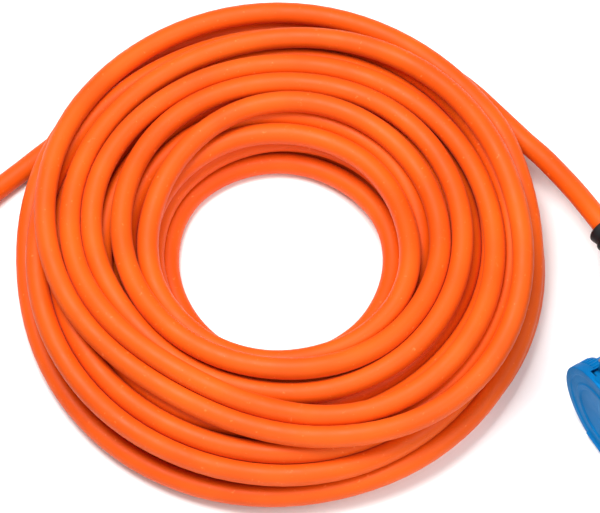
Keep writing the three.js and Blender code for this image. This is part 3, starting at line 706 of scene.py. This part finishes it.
def plate(outline, y0, y1, edge=0.5):
    """A flat plate with its (x, z) outline, from y0 to y1, with its edges rounded off."""
    shape = bmesh.new()
    face = shape.faces.new([shape.verts.new((x, y0, z)) for x, z in outline])
    grown = bmesh.ops.extrude_face_region(shape, geom=[face])["geom"]
    moved = [v for v in grown if isinstance(v, bmesh.types.BMVert)]
    bmesh.ops.translate(shape, vec=(0, y1 - y0, 0), verts=moved)
    bmesh.ops.recalc_face_normals(shape, faces=shape.faces)
    bmesh.ops.bevel(shape, geom=shape.edges, offset=edge, segments=3, profile=0.5,
                    affect="EDGES")
    return shape


# %% [markdown]
# Where the two connectors stand comes from the frame. The coupler hangs on its lid's hinge:
# the hinge's place and axis give the elbow and the way the socket faces. The plug lies
# straight along -Y behind the mouth of its sleeve.

# %% Places of the two connectors
HINGE_X, HINGE_Z = 53, 32 # the hinge, seen from the elbow
ENTRY_LENGTH = 89 # from the elbow to the mouth of the coupler's sleeve

hinge = next(j for j in frame["record"]["behaviour"]["joints"] if j["name"] == "lid_hinge")
across = -Vector(hinge["axis"]).normalized() # the coupler's own Y axis
facing = Vector((across.y, -across.x, 0))
turn_of_coupler = Matrix.Rotation(math.atan2(facing.y, facing.x), 4, "Z")
elbow = Vector(hinge["pos_m"]) - facing * HINGE_X * MM - Vector((0, 0, HINGE_Z * MM))
COUPLER = Matrix.Translation(elbow) @ turn_of_coupler @ Matrix.Scale(MM, 4)
QUARTER_TURN = math.pi / 2
COUPLER_ENTRY = (COUPLER @ Matrix.Translation((0, -ENTRY_LENGTH, 0))
                 @ Matrix.Rotation(QUARTER_TURN, 4, "Z"))

sleeve_low, sleeve_high = (Vector(corner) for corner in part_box("plug_sleeve"))
plug_mouth = (sleeve_low + sleeve_high) / 2
plug_mouth.y = sleeve_high.y
PLUG = (Matrix.Translation(plug_mouth) @ Matrix.Rotation(-QUARTER_TURN, 4, "Z")
        @ Matrix.Scale(MM, 4))
print("elbow:", [round(v, 4) for v in elbow], "plug:", [round(v, 4) for v in plug_mouth])

# %% [markdown]
# The same cable entry is on both housings. A rubber sleeve with a rolled lip stops the
# cable from kinking, five rings let it bend, and a ribbed nylon nut squeezes the seal
# behind it. The sleeve tapers from the nut towards its mouth.

# %% Cable entries
NUT_FRONT, NUT_BACK, NUT_RADIUS = 23.4, 37.1, 16.5
NUT_GRIPS = 24
SLEEVE_RINGS, RING_STEP = 5, 3.1


def sleeve_shape():
    """The rubber sleeve, its mouth at 0 and its foot held by the nut."""
    bore = CABLE_RADIUS + 0.3
    wall = shell(
        [(0, 6.4), (0, 8.6), (1.4, 9.4), (3.6, 8.7), (5.4, 8.2), (22, 9.5), (26.6, 9.6),
         (26.6, 12.4), (29, 12.4)],
        [(29, bore), (0, bore)], 1.0)
    ring = shell([(6.4, 8.0), (6.7, 9.0), (8.3, 9.15), (8.6, 8.2)],
                 [(8.6, 7.6), (6.4, 7.6)], 0.5)
    return together(wall, repeated(ring, SLEEVE_RINGS, step=RING_STEP))


def nut_shape():
    """The nut: a hollow cap with grips round it."""
    body = shell(
        [(NUT_FRONT, 12.6), (NUT_FRONT + 1.6, 14.6), (NUT_FRONT + 4.2, 15.7),
         (NUT_BACK, NUT_RADIUS - 0.6)],
        [(NUT_BACK, 13.3), (26.4, 13.3), (26.4, 10.5), (NUT_FRONT, 10.5)], 1.2)
    grip = block((NUT_FRONT + 4.4, NUT_BACK - 0.8), (14.9, NUT_RADIUS + 0.1), (-0.8, 0.8), 0.45)
    return together(body, repeated(grip, NUT_GRIPS, turn=2 * math.pi / NUT_GRIPS))


def add_entry(prefix, place):
    """The sleeve and nut of one connector."""
    return [
        piece(f"{prefix}_ribbed_sleeve", sleeve_shape(), place, "black_rubber",
              replaces=[f"{prefix}_sleeve"]),
        piece(f"{prefix}_ribbed_nut", nut_shape(), place, "black_nylon",
              replaces=[f"{prefix}_gland_nut"]),
    ]


coupler_entry = add_entry("coupler", COUPLER_ENTRY)
plug_entry = add_entry("plug", PLUG)
print("entries:", [obj.name for obj in coupler_entry + plug_entry])

# %% [markdown]
# The coupler's body is an elbow: a short drum with a neck that swells into it. A boolean of
# the two leaves a hard seam, and the real moulding has a soft blend there. So the drum, the
# neck and their bores are joined, then remade as fine even quads and smoothed, and every
# edge rounds off as it does in a mould.

# %% Coupler body
SCREW_PLACES = [(-14.6, -14.6), (14.6, 14.6)]
VOXEL = 0.75
SMOOTHINGS = 7
DRUM_RIBS, DRUM_RIB_TURN = 16, 15


def to_entry(shape):
    """Turns a shape drawn along the cable entry so that it ends at the elbow."""
    bmesh.ops.rotate(shape, matrix=Matrix.Rotation(QUARTER_TURN, 3, "Z"), verts=shape.verts)
    bmesh.ops.translate(shape, vec=(0, -ENTRY_LENGTH, 0), verts=shape.verts)
    return shape


def elbow_shape():
    """Drum and neck in one, hollow, with a seat for the collar and wells for two screws."""
    drum = lathe(rounded(
        [(-24, 0), (-24, 18), (-22, 22.5), (-18, 25), (14, 25), (14, 0)], 3), 128)
    neck = to_entry(lathe([(37.4, 0), (37.4, 16.6), (59.4, 19.4), (89, 21.6), (89, 0)], 96))
    stub = to_entry(rod(29.4, 39.4, 13, steps=64))
    outside = carved(drum, neck, stub, operation="UNION")
    seat = lathe([(14.2, 24), (14.2, 40), (34, 40), (34, 27.6), (18.3, 27.6), (14.2, 24)])
    bores = [rod(-21, 15, 22.2, steps=96), to_entry(rod(40.4, 73, 12.4, steps=64)),
             to_entry(rod(28.4, 41.4, 9.5, steps=64))]
    wells = [rod(-26, -20.3, 3.7, centre) for centre in SCREW_PLACES]
    return carved(outside, seat, *bores, *wells)


elbow_object = as_object("coupler_elbow", elbow_shape())
remesh = elbow_object.modifiers.new("even quads", "REMESH")
remesh.mode = "VOXEL"
remesh.voxel_size = VOXEL
ease = elbow_object.modifiers.new("soft edges", "SMOOTH")
ease.factor = 0.5
ease.iterations = SMOOTHINGS
plain(elbow_object)
soft_elbow = bmesh.new()
soft_elbow.from_mesh(elbow_object.data)
bpy.data.objects.remove(elbow_object)
drum_rib = block((-15, 11), (24.4, 25.7), (-0.9, 0.9), 0.5)
turned_about_x(drum_rib, -60)
drum_ribs = repeated(drum_rib, DRUM_RIBS, turn=math.radians(DRUM_RIB_TURN))
# The ring closes the joint between drum and collar, so that no light shows through it.
joint_ring = lathe([(13, 22.4), (13, 24.7), (14.25, 24.7), (14.25, 22.4), (13, 22.4)])
coupler_body = piece("coupler_elbow", together(soft_elbow, drum_ribs, joint_ring), COUPLER,
                     "blue_shell", replaces=["coupler_body"], sharp=60, outward=False)
print("elbow:", len(coupler_body.data.polygons), "faces")

# %% [markdown]
# The collar is the round mouth of the socket, with a keyway for the plug's rib and two lugs
# that carry the lid. Long grip ribs run round its outside. Inside stands the dark insert
# with three holes, one wider for earth.

# %% Coupler collar and insert
POLES = { # angle and pin radius
    "line": (150, 2.5),
    "neutral": (30, 2.5),
    "earth": (270, 3.5),
}
PIN_CIRCLE = 10.5
LUG_OUTLINE = [
    (39, 24.5), (56, 24.5), (56, 33), (55.4, 34.6), (53, 35.4), (50.4, 34.8), (47, 32)]
HINGE_HOLE = 1.9
GRIP_RIBS, GRIP_RIB_TURN = 29, 10


def pole_place(angle):
    """Where a pin stands, seen from the front."""
    a = math.radians(angle)
    return (PIN_CIRCLE * math.cos(a), PIN_CIRCLE * math.sin(a))


def hinge_hole():
    """A cutter for the pin's hole, through lugs or lid arms."""
    return cross_rod(HINGE_X, HINGE_Z, -20, 20, HINGE_HOLE)


def collar_shape():
    """The socket's wall with its rear flange, hinge lugs and keyway."""
    wall = shell(
        [(14.3, 25), (18.3, 27), (21, 27), (21.6, 26.4), (55.4, 26.4), (56, 27), (58, 27)],
        [(58, 22.8), (20, 22.8), (20, 18.8), (16.3, 18.8), (16.3, 21.9), (14.3, 21.9)],
        0.6, 128)
    lugs = [plate(LUG_OUTLINE, y0, y1) for y0, y1 in ((10, 14), (-14, -10))]
    whole = carved(wall, *lugs, operation="UNION")
    keyway = block((20, 59), (-4.5, 4.5), (-25.2, -19.8))
    return carved(whole, keyway, hinge_hole())


def grip_ribs():
    """Long ribs all round but for the place of the hinge."""
    rib = turned_about_x(block((25, 50), (26.0, 27.0), (-0.7, 0.7), 0.4), 130)
    return repeated(rib, GRIP_RIBS, turn=math.radians(GRIP_RIB_TURN))


def insert_shape():
    """The contact carrier: wide holes behind, and holes for the pins in its face."""
    blank = lathe(rounded([(10, 0), (10, 21.6), (16, 21.6), (16, 18.5), (55, 18.5), (55, 15.6),
                           (54.2, 15.2), (54.2, 0)], 0.6), 96)
    holes = []
    for angle, pin in POLES.values():
        holes.append(rod(9, 54.0, pin + 1.7, pole_place(angle)))
        holes.append(rod(50, 56, pin + 0.3, pole_place(angle)))
    return carved(blank, *holes)


collar = piece("coupler_ribbed_collar", together(collar_shape(), grip_ribs()), COUPLER,
               "blue_shell", replaces=["coupler_collar"], outward=False)
insert = piece("coupler_contact_insert", insert_shape(), COUPLER, "grey_insert",
               replaces=["coupler_insert"], outward=False)
print("collar:", len(collar.data.polygons), "insert:", len(insert.data.polygons), "faces")

# %% [markdown]
# The lid is a shallow cap. Its face has a raised rim, a shallow round recess in the middle
# and a thumb rib, and its skirt has fine notches to grip. A window at the top lets it swing
# past the collar's lugs, and two arms reach back to the hinge pin.

# %% Coupler lid, hinge and screws
LID_NOTCHES, LID_NOTCH_SPAN = 49, 290 # how many, and the degrees they cover


def lid_shape():
    """The cap with its window and the two arms that hold the hinge pin."""
    cap = shell(
        [(51, 28.9), (57.2, 28.9), (57.6, 29.5), (62.1, 29.5), (62.5, 29.1), (62.5, 25.4),
         (61.9, 24.8), (61.9, 20.4), (62.5, 19.8), (62.5, 17.4), (61.7, 16.6), (61.7, 0)],
        [(60, 0), (60, 27.6), (51, 27.6)], 0.4, 128)
    window = block((50, 59.7), (-15, 15), (18, 32))
    opened = carved(cap, window)
    arm = [(53, 28.8), (60, 28.2), (60, 23.6), (61.4, 23.6), (61.4, 28.6), (58, 33.4),
           (53, 35.2), (50.6, 34.4), (49.8, 32), (50.6, 29.6)]
    arms = [plate(arm, y0, y1, 0.4) for y0, y1 in ((5.6, 9.6), (-9.6, -5.6))]
    return carved(carved(opened, *arms, operation="UNION"), hinge_hole())


def lid_notches():
    """Fine ridges round the skirt, with a space between each two."""
    ridge = turned_about_x(block((52.2, 57.0), (28.5, 29.4), (-0.55, 0.55), 0.3), 125)
    return repeated(ridge, LID_NOTCHES, turn=math.radians(LID_NOTCH_SPAN / (LID_NOTCHES - 1)))


thumb_rib = block((60.5, 63.4), (-7, 7), (-27.2, -25.6), 0.6)
lid = piece("coupler_notched_lid", together(lid_shape(), lid_notches(), thumb_rib), COUPLER,
            "blue_lid", "coupler_cap", ["coupler_lid"], outward=False)


def screw_shape(head_back, head_front, head_radius, tip, radius, centre):
    """A pan-head screw along X with a cross slot, its head at the back."""
    screw = lathe(rounded([
        (head_back, 0), (head_back, head_radius * 0.7), (head_back + 0.7, head_radius),
        (head_front, head_radius), (head_front, radius), (tip - 1, radius), (tip, 0)], 0.3), 32)
    slots_cut = [block((head_back - 1, head_back + 1.1), (-2.1, 2.1), (-0.4, 0.4)),
                 block((head_back - 1, head_back + 1.1), (-0.4, 0.4), (-2.1, 2.1))]
    screw = carved(screw, *slots_cut)
    bmesh.ops.translate(screw, vec=(0, *centre), verts=screw.verts)
    return screw


for number, centre in enumerate(SCREW_PLACES, 1):
    piece(f"coupler_cross_screw_{number}", screw_shape(-22.8, -20.6, 3.2, 18, 1.8, centre),
          COUPLER, "zinc_steel", replaces=[f"coupler_housing_screw_{number}"], outward=False)

pin = cross_rod(HINGE_X, HINGE_Z, -14.6, 14.6, 1.6)
heads = [
    cross_rod(HINGE_X, HINGE_Z, y0, y1, 2.3) for y0, y1 in ((-15.4, -14.2), (14.2, 15.4))]
piece("coupler_riveted_pin", carved(pin, *heads, operation="UNION"), COUPLER, "zinc_steel",
      replaces=["coupler_hinge_pin"], outward=False)

SPRING_TURNS, SPRING_STEPS = 4, 32
SPRING_RADIUS, SPRING_WIRE, SPRING_HALF = 2.9, 0.6, 4
spring_points = []
for i in range(SPRING_TURNS * SPRING_STEPS + 1):
    a = 2 * math.pi * i / SPRING_STEPS
    y = -SPRING_HALF + 2 * SPRING_HALF * i / (SPRING_TURNS * SPRING_STEPS)
    spring_points.append(
        (HINGE_X + SPRING_RADIUS * math.cos(a), y, HINGE_Z + SPRING_RADIUS * math.sin(a)))
spring_line = chain(spring_points)
bmesh.ops.transform(spring_line, matrix=COUPLER, verts=spring_line.verts)
spring = run_tree(as_object("coupler_wound_spring", spring_line), sweep,
                  Radius=SPRING_WIRE * MM, Sides=12, Material=FINISHES["zinc_steel"])
finish_piece(spring, "zinc_steel", replaces=["coupler_lid_spring"])
print("lid:", len(lid.data.polygons), "faces")

# %% [markdown]
# The plug has a waisted handle with long grip ribs, a broad flange that a lid can latch
# over, and a round shroud with its key rib underneath. The three pins stand inside the
# shroud on a dark carrier, and their tips are chamfered so that they find their holes.

# %% Plug housing
HANDLE_RIBS, FLANGE_NOTCHES = 18, 36
RIB_BACK, RIB_FRONT = 50, 77
WALL_AT_RIB, WALL_SLOPE = 17.3, 0.176 # the wall's radius where the ribs start, and its rise


def handle_shape():
    """The handle, from the nut's thread to the flange, with its long grip ribs."""
    wall = shell(
        [(37.4, 16.6), (52, 17.6), (66, 19.9), (76, 22.2), (86, 22.6)],
        [(86, 19), (81.7, 19), (81.7, 18), (70, 18), (62, 13.4), (40.4, 13.4), (40.4, 9.8),
         (37.4, 9.8)], 2.0, 128)
    stub = shell([(29.4, 13), (38.4, 13)], [(38.4, 9.5), (29.4, 9.5)], 0.4, 96)
    rib = block((RIB_BACK, RIB_FRONT), (16.4, 23.1), (-0.8, 0.8), 0.6)
    for vertex in rib.verts: # the rib leans outwards with the wall
        wall_radius = WALL_AT_RIB + WALL_SLOPE * (vertex.co.x - RIB_BACK)
        vertex.co.y = wall_radius + (0.55 if vertex.co.y > 20 else -1.2)
    return together(wall, stub, repeated(rib, HANDLE_RIBS, turn=2 * math.pi / HANDLE_RIBS))


def front_shape():
    """The flange and the shroud, with the key rib below it."""
    wall = shell(
        [(86.3, 25), (87, 26.4), (93, 26.4), (94, 25.6), (94, 21.8), (132, 21.8)],
        [(132, 19.3), (97.4, 19.3), (97.4, 17.1), (95.3, 17.1), (95.3, 19), (86.3, 19)],
        0.8, 128)
    key = block((93, 130), (-4.2, 4.2), (-24.6, -20.3), 0.6)
    notch = block((87.4, 92.6), (25.9, 27.0), (-0.8, 0.8), 0.35)
    notches = repeated(notch, FLANGE_NOTCHES, turn=2 * math.pi / FLANGE_NOTCHES)
    return together(wall, key, notches)


def carrier_shape():
    """The disc that holds the pins."""
    disc = lathe(rounded(
        [(82, 0), (82, 18.7), (95, 18.7), (95, 15), (94.4, 14.6), (94.4, 0)], 0.5), 96)
    holes = [rod(81, 96, size + 0.2, pole_place(angle)) for angle, size in POLES.values()]
    return carved(disc, *holes)


def pin_shape(angle, radius, tip):
    """A turned pin with its wider terminal end behind."""
    barrel = radius + 1.4
    profile = [(70, 0), (70, barrel), (81.7, barrel), (81.7, radius), (tip - 2.2, radius),
               (tip - 0.5, radius - 1.1), (tip, radius - 1.8), (tip, 0)]
    turned_pin = lathe(rounded(profile, 0.5), 48)
    bmesh.ops.translate(turned_pin, vec=(0, *pole_place(angle)), verts=turned_pin.verts)
    return turned_pin


plug_parts = [
    piece("plug_ribbed_handle", handle_shape(), PLUG, "blue_shell", replaces=["plug_handle"],
          outward=False),
    piece("plug_flanged_front", front_shape(), PLUG, "blue_shell", replaces=["plug_front"],
          outward=False),
    piece("plug_dark_carrier", carrier_shape(), PLUG, "grey_insert",
          replaces=["plug_pin_carrier"], outward=False),
]
for pole, (angle, radius) in POLES.items():
    tip = 130 if pole == "earth" else 128
    plug_parts.append(piece(f"plug_turned_pin_{pole}", pin_shape(angle, radius, tip), PLUG,
                            "brass", replaces=[f"plug_pin_{pole}"], outward=False))
print("plug pieces:", [obj.name for obj in plug_parts])

# %% [markdown]
# The pieces that the frame already shapes well, such as terminals, clamps and seals, keep
# their own solids and get the finish that the record names for each.

# %% Finishes on the frame's own solids
CABLE_NODES = ["cable_coil", "cable_tail_to_plug", "cable_tail_to_coupler"]
for part in frame["record"]["subparts"]:
    obj = bpy.data.objects[part["node"]]
    if part["node"] not in CABLE_NODES and part["material_slot"] in FINISHES:
        if not obj.material_slots:
            obj.data.materials.append(None)
        for holder in obj.material_slots:
            holder.material = FINISHES[part["material_slot"]]

# %% [markdown]
# Now the cable itself: its route goes into the sweep tree as a chain of points, comes out
# as one closed tube, and takes the place of the frame's three cable pieces.

# %% Cable
cable = run_tree(as_object("cable", chain(route)), sweep, Radius=CABLE_RADIUS * MM, Sides=20,
                 Material=FINISHES["orange_sheath"])
finish_piece(cable, "orange_sheath", replaces=CABLE_NODES, sharp=60)

# %% [markdown]
# The floor is a pale sheet with a faint mottle. It is far larger than the coil, so that no
# edge of it shows from any side.

# %% Floor
paper, tree, shader, place = new_finish("pale matt floor", Roughness=0.9)
tree.links.new(ramp(tree, noise(tree, place, 60), (0.3, "f4f4f3"), (0.7, "f8f8f7")),
               shader.inputs["Base Color"])
FLOOR_HALF = 3.0
floor_shape = bmesh.new()
bmesh.ops.create_grid(floor_shape, x_segments=4, y_segments=4, size=FLOOR_HALF)
floor = as_object("floor", floor_shape)
floor.data.materials.append(paper)

# %% [markdown]
# Soft light from above and a little to the left shapes each turn of cable: bright along its
# top, deep orange down its sides and nearly black in the gaps. The white world keeps the
# floor pale and fills the far side of the housings.

# %% Light
def soft_light(name, place, size, power):
    """A square lamp that faces the coil."""
    lamp = bpy.data.lights.new(name, "AREA")
    lamp.size = size
    lamp.energy = power
    obj = bpy.data.objects.new(name, lamp)
    obj.location = COIL_CENTRE + Vector(place)
    obj.rotation_euler = Vector(place).to_track_quat("Z", "Y").to_euler()
    scene.collection.objects.link(obj)


soft_light("key", (-0.25, 0.15, 1.3), 0.7, 22.5)
soft_light("fill", (0.8, -0.4, 1.0), 0.8, 7)
soft_light("front", (-0.2, -1.3, 0.8), 0.8, 5)

world = bpy.data.worlds.new("white studio")
scene.world = world
world.use_nodes = True
world.node_tree.nodes["Background"].inputs["Color"].default_value = (1, 1, 1, 1)
world.node_tree.nodes["Background"].inputs["Strength"].default_value = 0.28
